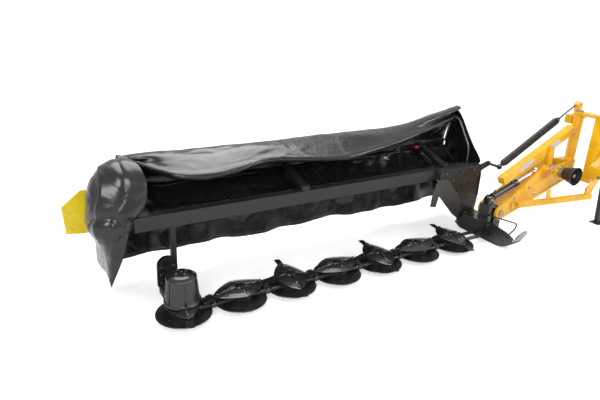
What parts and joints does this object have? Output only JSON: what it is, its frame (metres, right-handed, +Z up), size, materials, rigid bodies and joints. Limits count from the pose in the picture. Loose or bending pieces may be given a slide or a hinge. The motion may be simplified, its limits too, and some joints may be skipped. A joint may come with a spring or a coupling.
{
  "type": "rear-mounted disc mower",
  "caption": "Rear-mounted disc mower with a low cutterbar, curtain guard, folding bar, swing arm and three-point headstock.",
  "frame": {"origin": "on the ground under the centre of the bounding box", "axes": "+X along the bar towards the tractor side, -Y is the working direction, +Z up"},
  "size_m": [5.2776, 1.223, 1.244],
  "materials": {
    "black_satin": "satin black paint",
    "black_gloss": "gloss black paint",
    "yellow": "gloss yellow paint",
    "vinyl": "glossy black coated cloth",
    "steel": "worn bare steel",
    "chrome": "polished rod",
    "spring_black": "black coated spring steel",
    "black_plastic": "matt black plastic",
    "red_plastic": "gloss red ball grip"
  },
  "bodies": {
    "headstock": {"headstock": "yellow", "hinge_pin": "steel", "hitch_pin_left": "steel", "hitch_pin_right": "steel", "top_link_pin": "steel", "latch_plate": "yellow", "stand_bracket": "yellow"},
    "arm": {"arm_plate": "yellow", "belt_guard": "yellow", "fold_pin": "steel", "hinge_boss": "yellow", "upper_tube": "yellow", "input_bearing": "steel", "input_cone": "black_plastic", "lower_brace": "yellow", "spring_bracket": "yellow", "float_spring": "spring_black"},
    "cutterbar": {"cutter_bed": "black_satin", "outer_upright": "black_gloss", "outer_post": "black_satin", "drive_housing": "black_gloss", "inner_gusset": "black_satin", "inner_shoe": "steel", "shoe_nose": "steel", "guard_loop": "black_satin", "inner_shield": "black_satin", "cylinder_pin": "steel", "skid_shoe_1": "black_satin", "skid_shoe_2": "black_satin", "skid_shoe_3": "black_satin", "skid_shoe_4": "black_satin", "skid_shoe_5": "black_satin", "skid_shoe_6": "black_satin", "skid_shoe_7": "black_satin", "spine": "black_satin", "rear_rail": "black_satin", "inner_hoop": "steel", "marker_board": "yellow", "red_knob": "red_plastic", "outer_cross_arm": "black_satin", "middle_cross_arm": "black_satin", "inner_cross_arm": "black_satin", "folded_flap": "vinyl", "deck_cloth": "vinyl", "rear_curtain": "vinyl", "outer_curtain": "vinyl", "inner_curtain": "vinyl"},
    "disc_1": {"disc_1": "black_gloss"},
    "disc_2": {"disc_2": "black_gloss"},
    "disc_3": {"disc_3": "black_gloss"},
    "disc_4": {"disc_4": "black_gloss"},
    "disc_5": {"disc_5": "black_gloss"},
    "disc_6": {"disc_6": "black_gloss"},
    "disc_7": {"disc_7": "black_gloss"},
    "lift_barrel": {"cylinder_barrel": "black_gloss"},
    "lift_rod": {"cylinder_rod": "chrome"},
    "stand": {"parking_stand": "black_satin"}
  },
  "joints": [
    {"name": "breakaway", "type": "hinge", "parent": "headstock", "child": "arm", "pos_m": [1.78625, -0.1315, 0.5], "axis": [0, 0, -1], "range_deg": [0, 30]},
    {"name": "bar_fold", "type": "hinge", "parent": "arm", "child": "cutterbar", "pos_m": [0.80125, -0.1165, 0.275], "axis": [0, 1, 0], "range_deg": [-20, 90], "deforming": ["float_spring"]},
    {"name": "stand_fold", "type": "hinge", "parent": "headstock", "child": "stand", "pos_m": [2.10625, -0.3315, 0.53], "axis": [1, 0, 0], "range_deg": [0, 90]},
    {"name": "lift_barrel_pivot", "type": "hinge", "parent": "cutterbar", "child": "lift_barrel", "pos_m": [0.72125, -0.1465, 0.395], "axis": [0, 1, 0], "range_deg": [-100, 23]},
    {"name": "lift_rod_slide", "type": "slide", "parent": "lift_barrel", "child": "lift_rod", "axis": [0.9511, 0, 0.3089], "range_m": [-0.19, 0.045]},
    {"name": "disc_1_spin", "type": "hinge", "parent": "cutterbar", "child": "disc_1", "pos_m": [-2.05375, -0.1165, 0.1], "axis": [0, 0, 1], "continuous": true},
    {"name": "disc_2_spin", "type": "hinge", "parent": "cutterbar", "child": "disc_2", "pos_m": [-1.65375, -0.1165, 0.1], "axis": [0, 0, 1], "continuous": true},
    {"name": "disc_3_spin", "type": "hinge", "parent": "cutterbar", "child": "disc_3", "pos_m": [-1.25375, -0.1165, 0.1], "axis": [0, 0, 1], "continuous": true},
    {"name": "disc_4_spin", "type": "hinge", "parent": "cutterbar", "child": "disc_4", "pos_m": [-0.85375, -0.1165, 0.1], "axis": [0, 0, 1], "continuous": true},
    {"name": "disc_5_spin", "type": "hinge", "parent": "cutterbar", "child": "disc_5", "pos_m": [-0.45375, -0.1165, 0.1], "axis": [0, 0, 1], "continuous": true},
    {"name": "disc_6_spin", "type": "hinge", "parent": "cutterbar", "child": "disc_6", "pos_m": [-0.05375, -0.1165, 0.1], "axis": [0, 0, 1], "continuous": true},
    {"name": "disc_7_spin", "type": "hinge", "parent": "cutterbar", "child": "disc_7", "pos_m": [0.34625, -0.1165, 0.1], "axis": [0, 0, 1], "continuous": true}
  ],
  "couplings": [
    {"joint": "lift_barrel_pivot", "follows": "bar_fold", "ratio": -1.1},
    {"joint": "lift_rod_slide", "follows": "bar_fold", "m_per_rad": -0.118},
    {"joint": "disc_2_spin", "follows": "disc_1_spin", "ratio": -1},
    {"joint": "disc_3_spin", "follows": "disc_1_spin", "ratio": 1},
    {"joint": "disc_4_spin", "follows": "disc_1_spin", "ratio": -1},
    {"joint": "disc_5_spin", "follows": "disc_1_spin", "ratio": 1},
    {"joint": "disc_6_spin", "follows": "disc_1_spin", "ratio": -1},
    {"joint": "disc_7_spin", "follows": "disc_1_spin", "ratio": 1}
  ]
}
